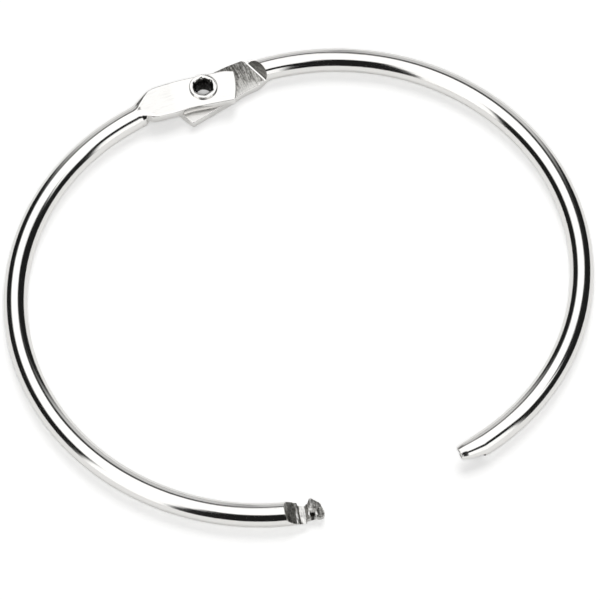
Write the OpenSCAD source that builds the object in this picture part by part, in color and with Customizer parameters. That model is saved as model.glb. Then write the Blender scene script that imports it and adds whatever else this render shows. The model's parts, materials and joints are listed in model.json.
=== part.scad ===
// Loose-leaf binder ring: two half rings of round steel wire, hinged on a hollow
// eyelet rivet and closed by a hook that runs into a grooved socket tip.
//
// The origin lies on the hinge axis, in the middle of the wire's thickness. +Z is
// up, and the hook half bends away towards -X and -Y. The ring lies flat on its
// wires, drawn as far open as `opening` says.

/* [Wire] */
// Diameter of the steel wire
wire_d = 3.9; // [3.6:0.1:4.2]
// Inside diameter of the ring when it is closed
ring_inner_d = 76; // [70:1:90]
// Angle that the socket half is swung open from the closed ring
opening = 19.5; // [0:0.5:140]

/* [Hinge blades] */
// Distance from the wire's centre line out to the hinge axis
hinge_offset = 0.4; // [0:0.1:0.8]
// Thickness of each pressed blade
blade_t = 1.5; // [1.3:0.05:1.6]
// Width of each blade across the hinge
blade_w = 5.9; // [5.6:0.1:6.2]
// How far a blade reaches past the hinge axis
blade_reach = 5.7; // [5.2:0.1:6.2]
// Distance from the hinge axis to where the flat blade begins
blade_root = 8.3; // [8:0.1:8.8]
// Distance from the hinge axis to where the wire is still round
wire_root = 12.3; // [12:0.1:13]
// Distance from the hinge axis to the cut shoulder of the wire
shoulder_root = 9.6; // [9.4:0.1:10]
// Free gap between the two blades
blade_gap = 0.06; // [0.04:0.01:0.1]

/* [Eyelet] */
// Diameter of the hole through the eyelet
bore_d = 2.5; // [2.2:0.1:2.6]
// Diameter of the eyelet's barrel
barrel_d = 3.3; // [3.2:0.05:3.5]
// Diameter of the rolled flanges
flange_d = 4.7; // [4.4:0.1:5]
// Radial clearance round the barrel in the turning blade
hinge_clearance = 0.05; // [0.02:0.01:0.1]

/* [Lock] */
// Place round the closed ring, from the hinge, where the hook's scoop starts
scoop_angle = 171.8; // [170:0.2:174]
// Length of the scoop's sloping face along the wire
scoop_l = 2.3; // [2:0.1:2.6]
// Length of the neck between the scoop and the head
neck_l = 1.2; // [1:0.1:1.5]
// Length of the head
head_l = 3; // [2.8:0.1:3.2]
// Height of the barb above the middle of the wire
barb_h = 0.85; // [0.6:0.05:0.9]
// Free gap round the hook inside the socket
lock_gap = 0.2; // [0.15:0.05:0.25]
// Length of the socket's taper
taper_l = 4.2; // [3.5:0.1:5]
// Diameter of the socket's tip
tip_d = 2.3; // [2.2:0.1:2.6]

/* [Hidden] */
$fn = 96;

wire_r = wire_d / 2;
ring_r = (ring_inner_d + wire_d) / 2;
centre_y = -(ring_r + hinge_offset);
blade_low = blade_gap / 2;
blade_high = blade_low + blade_t;
barrel_r = barrel_d / 2;
bore_r = bore_d / 2;
flange_r = flange_d / 2;

// Reach of the blades to the ring's outside and inside of the hinge axis
blade_out = blade_w * 0.4;
blade_in = blade_w * 0.6;
socket_blade_extra = 0.65;
root_out = blade_out - 0.6;
root_in = blade_in + 0.4;

// Plan of a blade: where its outer edge starts to curve in, the skew and bow of its
// end, its clipped corner, and the steps of its inner edge
curve_start = 2;
end_skew = 1.05;
end_bow = 0.25;
clip_long = 2;
clip_deep = 0.55;
waist = 0.15;
waist_at = 2.7;
waist_end = blade_root - 2.4;

// Slope of the cut shoulder, and the press mark at the blade's root
shoulder_slope = 22;
nick = 0.55;
nick_at = wire_root - 1.5;
nick_out = wire_r + 0.1;

// Heights in the lock, measured from the middle of the wire
scoop_step_h = -0.24;
neck_h = -0.5;
head_top = 0.15;
head_brow_h = -0.35;
head_nose_h = -0.9;

// Stretches of the lock along the wire, measured from the scoop's start
neck_start = scoop_l;
head_start = neck_start + neck_l;
head_end = head_start + head_l;
barb_at = head_start + 1;
barb_end = head_start + 2.5;
tip_start = head_start - 0.5;

// Reach of the lock's parts to the ring's inside and outside
neck_in = 1.5;
barb_in = 1.75;
barb_foot = 0.35;
barb_ridge = 0.15;
nose_out = 1.2;

// The scoop's steps: length from its start, height
scoop_steps = [[0.5, 0.8], [1.2, 0.3], [scoop_l - 0.5, scoop_step_h + 0.1], [scoop_l, scoop_step_h]];

// Outline of the head: share of its length, reach outwards
head_outline = [
    [0, 1.05], [0.3, 0.9], [0.53, 0.85], [0.7, nose_out], [0.87, 1.1], [0.95, 0.8], [1, 0.3],
    [0.95, -0.45], [0.82, -1.05], [0.57, -1.5], [0.38, -barb_in], [0.32, -barb_in],
    [0.17, -1.25], [0, -1.2]];

eps = 0.01;
slice_t = 0.02;
tuck = 0.01;
hull_fn = 32;
far = 3 * wire_d;

function degrees_along(length) = length / ring_r * 180 / PI;
function degrees_at(x) = asin(x / ring_r);

// Moves its children to a place round the closed ring, counted from the hinge
// through the hook half. Local +X runs on along the wire, +Y points outwards and
// z = 0 is the middle of the wire.
module on_wire(angle) {
    translate([0, centre_y, 0]) rotate(angle) translate([0, ring_r, 0]) mirror([1, 0, 0]) children();
}

// Moves its children into the lock: local +X runs along the head's middle and
// counts from the scoop's start
module in_lock() {
    middle = head_start + head_l / 2;
    on_wire(scoop_angle + degrees_along(middle)) translate([-middle, 0, 0]) children();
}

// A stretch of the round wire between two places on the closed ring
module wire_arc(from, to) {
    translate([0, centre_y, 0]) rotate([0, 0, 90 + from])
        rotate_extrude(angle = to - from, $fn = 360) translate([ring_r, 0]) circle(wire_r);
}

// Plan of a blade: a flat tongue with a curved outer edge and a skewed, bowed end.
// `extra` widens it towards the ring's inside.
module blade_plan(extra) {
    end_in = blade_reach - end_skew;
    end_out_y = blade_out - clip_deep;
    inner_y = -blade_in - extra;
    outer_edge = [for (t = [0:0.125:1])
        [-curve_start - (blade_root - curve_start) * t, blade_out + (root_out - blade_out) * t * t]];
    bowed_end = [for (t = [0:0.125:1])
        [end_in + end_skew * t + end_bow * 4 * t * (1 - t), inner_y + (end_out_y - inner_y) * t]];
    polygon(concat(
        [[-blade_root, -root_in], [-waist_end, -root_in + waist], [-waist_at, inner_y + waist]],
        bowed_end, [[blade_reach - clip_long, blade_out]], outer_edge));
}

// The wire swelling from its round upper half into the blade's flat section
module pressed_root() {
    hull() {
        on_wire(degrees_at(wire_root)) rotate([90, 0, 90]) linear_extrude(slice_t) intersection() {
            circle(wire_r - tuck, $fn = hull_fn);
            translate([-wire_r, blade_low]) square([wire_d, wire_r]);
        }
        translate([-blade_root, -root_in, blade_low])
            cube([slice_t, root_in + root_out, blade_t]);
    }
}

// The hinge end of a half ring: the blade and its root, in the upper half of the wire
module hinge_end(extra = 0) {
    pressed_root();
    translate([0, 0, blade_low]) linear_extrude(blade_t) blade_plan(extra);
}

// What is cut off the round wire at its hinge end: the upper half back to the
// pressed root, and the lower half by a steep shoulder beside the other blade
module hinge_cut() {
    on_wire(degrees_at(wire_root)) translate([-far, -far, blade_low]) cube([far, 2 * far, far]);
    on_wire(degrees_at(shoulder_root)) rotate([0, -shoulder_slope, 0]) translate([-far, -far, -far])
        cube([far, 2 * far, 2 * far]);
}

// The round wire of a half ring from its hinge end on to a place round the ring
module half_wire(to) {
    difference() {
        wire_arc(degrees_at(shoulder_root - 1), to);
        hinge_cut();
    }
}

// Press mark at the inner side of the blade's root
module press_nick() {
    on_wire(degrees_at(nick_at)) translate([0, -nick_out, 0])
        rotate(45) cube([nick, nick, far], center = true);
}

// Profile along the wire of what is cut away above the hook: scoop, neck and head
module hook_profile() {
    polygon(concat(
        [[0, wire_r + eps]], scoop_steps,
        [[neck_start + 0.1, neck_h], [head_start, neck_h], [head_start + 0.3, head_top],
         [head_end - 1, head_top], [head_end - 0.3, head_brow_h], [head_end, head_nose_h],
         [head_end, -far], [head_end + far, -far], [head_end + far, far], [0, far]]));
}

// Plan of the neck and head: a crest to the ring's inside, a nose to its outside
module head_plan() {
    polygon(concat(
        [[neck_start, -2 * wire_r], [neck_start, 2 * wire_r], [head_start, 2 * wire_r]],
        [for (p = head_outline) [head_start + head_l * p[0], p[1]]],
        [[neck_start + 0.1, -neck_in], [neck_start, -wire_r]]));
}

// What is cut away beside the neck and head
module head_sides() {
    translate([0, 0, -far]) in_lock() linear_extrude(2 * far) difference() {
        translate([neck_start, -2 * wire_r]) square([2 * far, 4 * wire_r]);
        head_plan();
    }
}

// The crest on the inner side of the head
module barb() {
    foot_h = -wire_r / 2;
    low = head_top - 0.1;
    intersection() {
        across_wire() polygon([
            [head_start + 0.3, foot_h], [barb_at - barb_ridge, barb_h], [barb_at, barb_h],
            [barb_end, low], [barb_end, foot_h]]);
        along_wire() polygon([
            [-barb_in, foot_h], [-barb_in, head_top], [-barb_in + barb_ridge, barb_h],
            [-barb_in + 2 * barb_ridge, barb_h], [-barb_foot, low], [-barb_foot, foot_h]]);
        in_lock() translate([0, 0, -far]) linear_extrude(2 * far) head_plan();
        wire_arc(scoop_angle, scoop_angle + degrees_along(head_end));
    }
}

// Carries a profile of the lock (along, height) right across the wire
module across_wire() {
    in_lock() rotate([90, 0, 0]) translate([0, 0, -far]) linear_extrude(2 * far) children();
}

// Carries a section of the lock (outwards, height) along the wire
module along_wire(from = 0, length = far) {
    in_lock() translate([from, 0, 0]) rotate([90, 0, 90]) linear_extrude(length) children();
}

// Half ring that ends in the hook, with its blade on top
module hook_half() {
    color("gainsboro") {
        difference() {
            union() {
                hinge_end();
                half_wire(scoop_angle + degrees_along(head_end));
            }
            across_wire() hook_profile();
            head_sides();
            press_nick();
            cylinder(r = barrel_r, h = far, center = true);
        }
        barb();
    }
}

// Round section of the socket's tapered tip
module tip_slice(along, diameter, inwards, up) {
    on_wire(scoop_angle + degrees_along(tip_start + along)) translate([0, -inwards, up])
        rotate([90, 0, 90]) linear_extrude(slice_t) circle(d = diameter, $fn = hull_fn);
}

// The socket's solid tip, narrowing most on its outer side
module tapered_tip() {
    inwards = 0.3;
    up = 0.4;
    hull() {
        tip_slice(0, tip_d, inwards, up);
        tip_slice(taper_l * 0.3, (tip_d + wire_d) / 2, inwards * 0.7, up * 0.6);
        tip_slice(taper_l, wire_d - 2 * tuck, 0, 0);
    }
}

// Groove under the socket's tip that takes the hook's head
module groove() {
    length = head_end + lock_gap;
    along_wire(-far, far + length) translate([-far, -far])
        square([far + nose_out + lock_gap, far + head_top + lock_gap]);
}

// Slot in the socket's inner side that lets the barb through
module barb_slot() {
    length = barb_end + lock_gap;
    along_wire(-far, far + length) translate([-far, -far])
        square([far - barb_foot + lock_gap, far + barb_h + lock_gap]);
}

// Half ring that ends in the socket, with its blade underneath
module socket_half() {
    tip_angle = scoop_angle + degrees_along(tip_start + taper_l);
    color("silver") rotate(opening) difference() {
        union() {
            mirror([0, 0, 1]) mirror([1, 0, 0]) {
                hinge_end(socket_blade_extra);
                half_wire(360 - tip_angle);
            }
            tapered_tip();
        }
        groove();
        barb_slot();
        cylinder(r = barrel_r + hinge_clearance, h = far, center = true);
    }
}

// Hollow rivet that joins the two blades, with both its ends rolled outwards
module eyelet() {
    lip = 0.1;
    mouth_r = flange_r - 0.65;
    throat_h = wire_r - 0.75;
    half_section = [
        [bore_r, throat_h], [bore_r + lip, throat_h + 0.4], [mouth_r, wire_r - lip / 2],
        [mouth_r + lip, wire_r], [flange_r - lip, wire_r], [flange_r, wire_r - lip],
        [flange_r, blade_high], [barrel_r, blade_high]];
    n = len(half_section);
    other_half = [for (i = [n - 1:-1:0]) [half_section[i][0], -half_section[i][1]]];
    color("lightgray") rotate_extrude() polygon(concat(half_section, other_half));
}

hook_half();
socket_half();
eyelet();
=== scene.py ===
"""Looks of a loose-leaf binder ring in bright nickel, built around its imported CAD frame.

The ring is three pieces: a half ring that ends in a hook, a half ring that ends in a
socket, and the hollow eyelet that hinges them. Each half ring starts as a drawn wire
blank and is pressed and cut in the order a ring maker would: hinge end first, then
the free end.

A half ring is worked out in its own millimetre frame, in which its hinge axis stands
at the origin, its wire bends away towards -X and -Y, and its blade is in the upper
half of the wire. Meshes are written in metres, in the frame of the CAD model.
"""

import json
import logging
import math
from collections.abc import Callable, Sequence
from dataclasses import dataclass
from enum import Enum

import bmesh
import bpy
import numpy as np
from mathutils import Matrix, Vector, noise


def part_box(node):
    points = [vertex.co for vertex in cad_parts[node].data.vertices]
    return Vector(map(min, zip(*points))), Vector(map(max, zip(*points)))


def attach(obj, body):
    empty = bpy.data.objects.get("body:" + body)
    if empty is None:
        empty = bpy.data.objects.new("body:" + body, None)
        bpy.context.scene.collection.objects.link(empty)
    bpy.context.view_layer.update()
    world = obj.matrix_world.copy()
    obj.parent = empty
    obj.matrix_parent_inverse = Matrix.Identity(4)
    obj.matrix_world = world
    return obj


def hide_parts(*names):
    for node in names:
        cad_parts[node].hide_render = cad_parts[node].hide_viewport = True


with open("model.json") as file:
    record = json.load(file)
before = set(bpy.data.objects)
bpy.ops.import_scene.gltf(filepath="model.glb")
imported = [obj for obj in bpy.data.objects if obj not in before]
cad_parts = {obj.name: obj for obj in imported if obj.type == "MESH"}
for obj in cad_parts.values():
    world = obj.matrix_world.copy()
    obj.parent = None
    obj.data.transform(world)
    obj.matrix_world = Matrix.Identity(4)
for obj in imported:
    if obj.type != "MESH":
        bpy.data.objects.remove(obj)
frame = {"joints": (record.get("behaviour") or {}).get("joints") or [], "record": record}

log = logging.getLogger("binder_ring")
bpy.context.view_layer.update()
MM = 0.001
MERGE_DISTANCE = 0.0004
FULL_TURN = 2 * math.pi
QUARTER = math.pi / 2
Array = np.ndarray
Span = tuple[float, float]
Profile = tuple[tuple[float, float], ...]
Colour = tuple[float, float, float, float]
WHITE: Colour = (1.0, 1.0, 1.0, 1.0)


class Surface(Enum):
    """Names of the values that a mesh carries for its finish."""

    TORN = "torn"
    MILLED = "milled"
    # tone holds painted light and shade as well as the metal's own tone
    TONE = "tone"
    DRAWN = "drawn"


class Slot(Enum):
    """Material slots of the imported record."""

    HOOK = "hook_steel"
    SOCKET = "socket_steel"
    EYELET = "eyelet_steel"


# ---------------------------------------------------------------- shaping helpers


def smooth(x: Array) -> Array:
    """Ease a ramp from 0 to 1, held flat outside it."""
    x = np.clip(x, 0.0, 1.0)
    return x * x * (3 - 2 * x)


def ramp(x: Array, start: float, end: float) -> Array:
    """Straight ramp from 0 at start to 1 at end, held flat outside it."""
    return np.clip((x - start) / (end - start), 0.0, 1.0)


def lerp(a: Array, b: Array, weight: Array) -> Array:
    """Blend from a to b, row by row where the weight is one number a row.

    Args:
        a: Values at weight 0.
        b: Values at weight 1.
        weight: Share of b.

    Returns:
        The blended values.
    """
    if np.ndim(a) == 2 and np.ndim(weight) == 1:
        weight = weight[:, None]
    return a + (b - a) * weight


def eased_profile(x: Array, points: Profile, ease: float) -> Array:
    """Follow a profile of straight pieces with its corners eased.

    Args:
        x: Where to read the profile.
        points: Corners of the profile, in rising order.
        ease: Half the length over which a corner is rounded.

    Returns:
        The profile's value at each x.
    """
    at, value = zip(*points)
    taps = np.linspace(-ease, ease, 5)
    return sum(np.interp(x + tap, at, value) for tap in taps) / len(taps)


def edge_drop(distance: Array, radius: float) -> Array:
    """How far a rounded edge falls below its face, by distance from the edge."""
    inside = np.clip(radius - distance, 0.0, radius)
    return radius - np.sqrt(radius**2 - inside**2)


@dataclass(frozen=True)
class Grain:
    """Smooth noise over torn metal.

    Attributes:
        cells: Cells per millimetre along X, Y and Z.
        seed: Shift that picks another part of the noise.
        height: How far the noise lifts the metal.
        keep: How fast each finer layer of the noise fades.
        finer: How much finer each layer is than the one before.
        layers: How many layers there are.
    """

    cells: tuple[float, float, float]
    seed: float
    height: float = 0.0
    keep: float = 0.8
    finer: float = 2.0
    layers: int = 3

    def at(self, points: Array) -> Array:
        """Read the noise.

        Args:
            points: Where to read it, in millimetres, one row a point.

        Returns:
            One value a point, from about -1 to 1.
        """
        spots = points * np.array(self.cells) + self.seed
        how = (self.keep, self.finer, self.layers)
        return np.array([noise.fractal(Vector(spot), *how) for spot in spots])


# ---------------------------------------------------------------- mesh helpers


def mesh_of(name: str, points: Array, edges: Sequence, faces: Sequence) -> bpy.types.Mesh:
    """Make a mesh from points in millimetres.

    Args:
        name: Name of the mesh.
        points: Its points, one row each.
        edges: Pairs of points.
        faces: Rings of points.

    Returns:
        The mesh, in metres.
    """
    mesh = bpy.data.meshes.new(name)
    mesh.from_pydata((points * MM).tolist(), edges, faces)
    return mesh


def set_out(name: str, data: bpy.types.ID) -> bpy.types.Object:
    """Put a mesh, lamp or camera into the scene.

    Args:
        name: Name of the new object.
        data: What the object holds.

    Returns:
        The object, at the origin.
    """
    placed = bpy.data.objects.new(name, data)
    bpy.context.scene.collection.objects.link(placed)
    return placed


def made_real(obj: bpy.types.Object) -> bpy.types.Mesh:
    """Turn an object with its modifiers into one plain mesh."""
    evaluated = obj.evaluated_get(bpy.context.evaluated_depsgraph_get())
    return bpy.data.meshes.new_from_object(evaluated)


def coordinates(mesh: bpy.types.Mesh) -> Array:
    """Read a mesh's points.

    Args:
        mesh: Mesh to read.

    Returns:
        The points in millimetres, one row each.
    """
    flat = np.empty(len(mesh.vertices) * 3)
    mesh.vertices.foreach_get("co", flat)
    return flat.reshape(-1, 3) / MM


def faces_of(mesh: bpy.types.Mesh) -> tuple[Array, Array]:
    """Read where a mesh's faces are and which way they point.

    Args:
        mesh: Mesh to read.

    Returns:
        The middle of each face, in millimetres, and its normal, one row a face.
    """
    middle = np.empty(len(mesh.polygons) * 3)
    normal = np.empty(len(mesh.polygons) * 3)
    mesh.polygons.foreach_get("center", middle)
    mesh.polygons.foreach_get("normal", normal)
    return middle.reshape(-1, 3) / MM, normal.reshape(-1, 3)


def close_skin(mesh: bpy.types.Mesh, smooth_faces: bool = True) -> None:
    """Merge doubled points, so that a skin closes, and point its faces outwards.

    Args:
        mesh: Mesh to close.
        smooth_faces: Whether its faces are shaded smooth.
    """
    work = bmesh.new()
    work.from_mesh(mesh)
    bmesh.ops.remove_doubles(work, verts=work.verts, dist=MERGE_DISTANCE * MM)
    bmesh.ops.recalc_face_normals(work, faces=work.faces)
    for face in work.faces:
        face.smooth = smooth_faces
    work.to_mesh(mesh)
    work.free()


def drill(radius: float, length: float = 8.0, sides: int = 96) -> bpy.types.Mesh:
    """Make the upright cutter for the rivet's hole.

    Args:
        radius: Radius of the hole, in millimetres.
        length: Length of the cutter, in millimetres.
        sides: Number of its sides.

    Returns:
        The cutter, on the hinge axis.
    """
    mesh = bpy.data.meshes.new("drill")
    tool = bmesh.new()
    size = {"radius1": radius * MM, "radius2": radius * MM, "depth": length * MM}
    bmesh.ops.create_cone(tool, cap_ends=True, segments=sides, **size)
    tool.to_mesh(mesh)
    tool.free()
    return mesh


def prism(name: str, points: Array) -> bpy.types.Mesh:
    """Join two like outlines into a closed block.

    Args:
        name: Name of the mesh.
        points: Corners of one outline, then those of the other, in millimetres.

    Returns:
        The block, with its faces outwards.
    """
    n = len(points) // 2
    faces = [tuple(range(n)), tuple(range(2 * n - 1, n - 1, -1))]
    faces += [(i, i + n, (i + 1) % n + n, (i + 1) % n) for i in range(n)]
    mesh = mesh_of(name, points, [], faces)
    close_skin(mesh, smooth_faces=False)
    return mesh


def carve(piece: bpy.types.Object, cutter: bpy.types.Mesh) -> None:
    """Cut a piece with a closed mesh that is thrown away afterwards.

    Args:
        piece: Piece to cut.
        cutter: The mesh that is taken away from it.
    """
    tool = set_out(cutter.name, cutter)
    modifier = piece.modifiers.new(cutter.name, "BOOLEAN")
    modifier.operation = "DIFFERENCE"
    modifier.solver = "EXACT"
    modifier.object = tool
    carved = made_real(piece)
    piece.modifiers.remove(modifier)
    piece.data = carved
    bpy.data.objects.remove(tool)


def outline_from(core: Array, rays: Array, inside: Callable[[Array, Array], Array]) -> Array:
    """Find the outline of a section along rays from a point inside it.

    Each ray is walked until it leaves the section, and its last step is then halved.

    Args:
        core: Offset outwards and height of the point.
        rays: Angles of the rays.
        inside: Tells whether places, by offset outwards and height, are in the section.

    Returns:
        Offset outwards and height of the outline on each ray.
    """
    step, steps, halvings = 0.045, 95, 9
    way = np.column_stack([np.cos(rays), np.sin(rays)])

    def within(reach: Array) -> Array:
        """Tell whether the places at some reach along the rays are in the section."""
        return inside(core[0] + reach * way[:, :1], core[1] + reach * way[:, 1:])

    reach = np.broadcast_to(np.arange(1, steps + 1) * step, (len(rays), steps))
    first = np.argmax(~within(reach), axis=1)
    high = reach[0, first][:, None]
    low = high - step
    for _ in range(halvings):
        middle = (low + high) / 2
        kept = within(middle)
        low, high = np.where(kept, middle, low), np.where(kept, high, middle)
    return core + low * way


# ---------------------------------------------------------------- the drawn blank


@dataclass(frozen=True)
class RingPath:
    """Centre line of a half ring, by the angle round the ring from its hinge.

    Attributes:
        radius: Radius of the line.
        hinge_offset: How far outside the line the hinge axis stands.
    """

    radius: float
    hinge_offset: float

    @property
    def centre_y(self) -> float:
        """Place of the ring's middle on the Y axis."""
        return -(self.radius + self.hinge_offset)

    def length_at(self, degrees: float) -> float:
        """Length along the wire at an angle in degrees."""
        return math.radians(degrees) * self.radius

    def away_at(self, along: Array) -> Array:
        """Distance straight across from the hinge at a length along the wire."""
        return self.radius * np.sin(along / self.radius)

    def place(self, along: Array, outwards: Array, up: Array) -> Array:
        """Turn wire coordinates into points.

        Args:
            along: Length along the wire from the hinge.
            outwards: Offset away from the ring's middle.
            up: Height above the middle of the wire.

        Returns:
            Points in the half ring's own frame, one row each.
        """
        angle = along / self.radius
        reach = self.radius + outwards
        return np.column_stack(
            [-reach * np.sin(angle), self.centre_y + reach * np.cos(angle), up + 0 * angle]
        )

    def unroll(self, points: Array) -> tuple[Array, Array, Array]:
        """Turn points near the path back into wire coordinates.

        Args:
            points: Points in the half ring's own frame.

        Returns:
            Length along the wire, offset outwards and height.
        """
        x, y = points[:, 0], points[:, 1] - self.centre_y
        angle = np.arctan2(-x, y)
        angle = np.where(angle < -QUARTER, angle + FULL_TURN, angle)
        return angle * self.radius, np.hypot(x, y) - self.radius, points[:, 2]


@dataclass(frozen=True)
class Stretch:
    """Part of the wire and the spacing of its stations."""

    end: float
    spacing: float


@dataclass(frozen=True)
class DrawnBlank:
    """Round wire along a path, with stations close together where it will be worked.

    Attributes:
        start: Length along the path at which the wire starts, below 0 past the hinge.
        stretches: Spacing of the stations from there on.
        sides: Number of points round the wire.
        closing_rings: Number of shrinking rings that close each end.
        closing_step: Distance between them.
    """

    path: RingPath
    wire_radius: float
    start: float
    stretches: tuple[Stretch, ...]
    sides: int = 120
    closing_rings: int = 9
    closing_step: float = 0.004

    def stations(self) -> tuple[Array, Array]:
        """Lay out the stations.

        Returns:
            Length along the wire of each station, and how full its section is: 1 along
            the wire, falling to 0 over the rings that close each end.
        """
        along = [self.start]
        for stretch in self.stretches:
            count = max(1, round((stretch.end - along[-1]) / stretch.spacing))
            along += list(np.linspace(along[-1], stretch.end, count + 1)[1:])
        steps = np.arange(1, self.closing_rings + 1)
        shut = np.cos(steps / self.closing_rings * QUARTER)
        shut[-1] = 0.0
        offsets = steps * self.closing_step
        full = np.concatenate([shut[::-1], np.ones(len(along)), shut])
        length = np.concatenate([along[0] - offsets[::-1], along, along[-1] + offsets])
        return length, full

    def guide(self, name: str) -> bpy.types.Object:
        """Make the path as a chain of edges that carries each station's fullness.

        Args:
            name: Name of the guide.

        Returns:
            The guide, in the scene.
        """
        length, full = self.stations()
        points = self.path.place(length, np.zeros_like(length), np.zeros_like(length))
        mesh = mesh_of(name, points, [(i, i + 1) for i in range(len(points) - 1)], [])
        mesh.attributes.new("full", "FLOAT", "POINT").data.foreach_set("value", full)
        return set_out(name, mesh)

    @staticmethod
    def sweep_tree() -> bpy.types.NodeTree:
        """Build the nodes that sweep a round section along a chain of edges.

        Returns:
            The tree, with named inputs for the wire's radius, its sides and its finish.
        """
        tree = bpy.data.node_groups.new("drawn_wire", "GeometryNodeTree")
        inputs = {
            "Geometry": "Geometry",
            "Wire Radius": "Float",
            "Sides": "Int",
            "Material": "Material",
        }
        for name, kind in inputs.items():
            tree.interface.new_socket(name, in_out="INPUT", socket_type="NodeSocket" + kind)
        tree.interface.new_socket("Geometry", in_out="OUTPUT", socket_type="NodeSocketGeometry")
        given, result = (tree.nodes.new("NodeGroup" + kind) for kind in ("Input", "Output"))
        kinds = ("MeshToCurve", "SetCurveNormal", "CurvePrimitiveCircle", "CurveToMesh")
        chain, upright, section, sweep = (tree.nodes.new("GeometryNode" + k) for k in kinds)
        real = tree.nodes.new("GeometryNodeRealizeInstances")
        dress = tree.nodes.new("GeometryNodeSetMaterial")
        upright.mode = "Z_UP"
        for source, output, target, into in (
            (given, "Geometry", chain, "Mesh"),
            (chain, "Curve", upright, "Curve"),
            (upright, "Curve", sweep, "Curve"),
            (given, "Wire Radius", section, "Radius"),
            (given, "Sides", section, "Resolution"),
            (section, "Curve", sweep, "Profile Curve"),
            (sweep, "Mesh", real, "Geometry"),
            (real, "Geometry", dress, "Geometry"),
            (given, "Material", dress, "Material"),
            (dress, "Geometry", result, "Geometry"),
        ):
            tree.links.new(source.outputs[output], target.inputs[into])
        return tree

    def sweep(self, name: str, material: bpy.types.Material) -> bpy.types.Mesh:
        """Draw the wire.

        Args:
            name: Name for the guide and its mesh.
            material: Finish of the wire.

        Returns:
            Mesh of the blank in metres, in the half ring's own frame.
        """
        guide = self.guide(name)
        modifier = guide.modifiers.new("drawn_wire", "NODES")
        modifier.node_group = self.sweep_tree()
        values = {
            "Wire Radius": self.wire_radius * MM,
            "Sides": self.sides,
            "Material": material,
        }
        for item in modifier.node_group.interface.items_tree:
            if item.in_out == "INPUT" and item.name in values:
                modifier[item.identifier] = values[item.name]
        mesh = made_real(guide)
        bpy.data.objects.remove(guide)
        return mesh


@dataclass
class Wear:
    """Finish values of a mesh, one a face: torn metal, milled metal and tone, which also carries
    painted light and shade.
    """

    torn: Array
    milled: Array
    tone: Array

    @classmethod
    def plain(cls, count: int) -> "Wear":
        """Bright plate all over."""
        return cls(np.zeros(count), np.zeros(count), np.zeros(count))

    def keep_on(self, mesh: bpy.types.Mesh, drawn: Array) -> None:
        """Keep the values on a mesh.

        Args:
            mesh: Mesh to mark.
            drawn: Length along the wire, offset outwards and height of each point of a
                half ring, or the place of each point of the rivet.
        """
        layers = {Surface.TORN: self.torn, Surface.MILLED: self.milled, Surface.TONE: self.tone}
        for surface, values in layers.items():
            layer = mesh.attributes.new(surface.value, "FLOAT", "FACE")
            layer.data.foreach_set("value", values)
        layer = mesh.attributes.new(Surface.DRAWN.value, "FLOAT_VECTOR", "POINT")
        layer.data.foreach_set("vector", drawn.ravel())


# ---------------------------------------------------------------- finishes


class NodeBench:
    """Adds and joins shader nodes in one material or world."""

    def __init__(self, tree: bpy.types.NodeTree) -> None:
        """Start with an empty tree."""
        self.tree = tree
        tree.nodes.clear()

    def add(self, kind: str, inputs: dict | None = None, **settings: object) -> bpy.types.Node:
        """Add a node.

        Args:
            kind: Blender's type name of the node, without its ShaderNode prefix.
            inputs: Values or sockets by input name or number.
            **settings: Properties of the node.

        Returns:
            The new node.
        """
        node = self.tree.nodes.new("ShaderNode" + kind)
        for name, value in settings.items():
            setattr(node, name, value)
        for name, value in (inputs or {}).items():
            if isinstance(value, bpy.types.NodeSocket):
                self.tree.links.new(value, node.inputs[name])
            else:
                node.inputs[name].default_value = value
        return node

    def math(self, operation: str, *values: object) -> bpy.types.NodeSocket:
        """Add a math node and return its output."""
        return self.add("Math", dict(enumerate(values)), operation=operation).outputs[0]

    def mix(self, factor: object, a: object, b: object) -> bpy.types.NodeSocket:
        """Mix two colours or sockets by a factor and return the colour."""
        return self.add("Mix", {0: factor, 6: a, 7: b}, data_type="RGBA").outputs[2]

    def mix_number(self, factor: object, a: object, b: object) -> bpy.types.NodeSocket:
        """Mix two numbers or sockets by a factor and return the number."""
        return self.add("Mix", {0: factor, 2: a, 3: b}, data_type="FLOAT").outputs[0]

    def span(self, value: object, over: Span, onto: Span = (0.0, 1.0)) -> bpy.types.NodeSocket:
        """Map a value from one range onto another, held at both ends."""
        return self.add("MapRange", dict(enumerate((value, *over, *onto)))).outputs[0]

    def attribute(self, surface: Surface) -> bpy.types.Node:
        """Read a value that the mesh carries."""
        return self.add("Attribute", attribute_name=surface.value)


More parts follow.
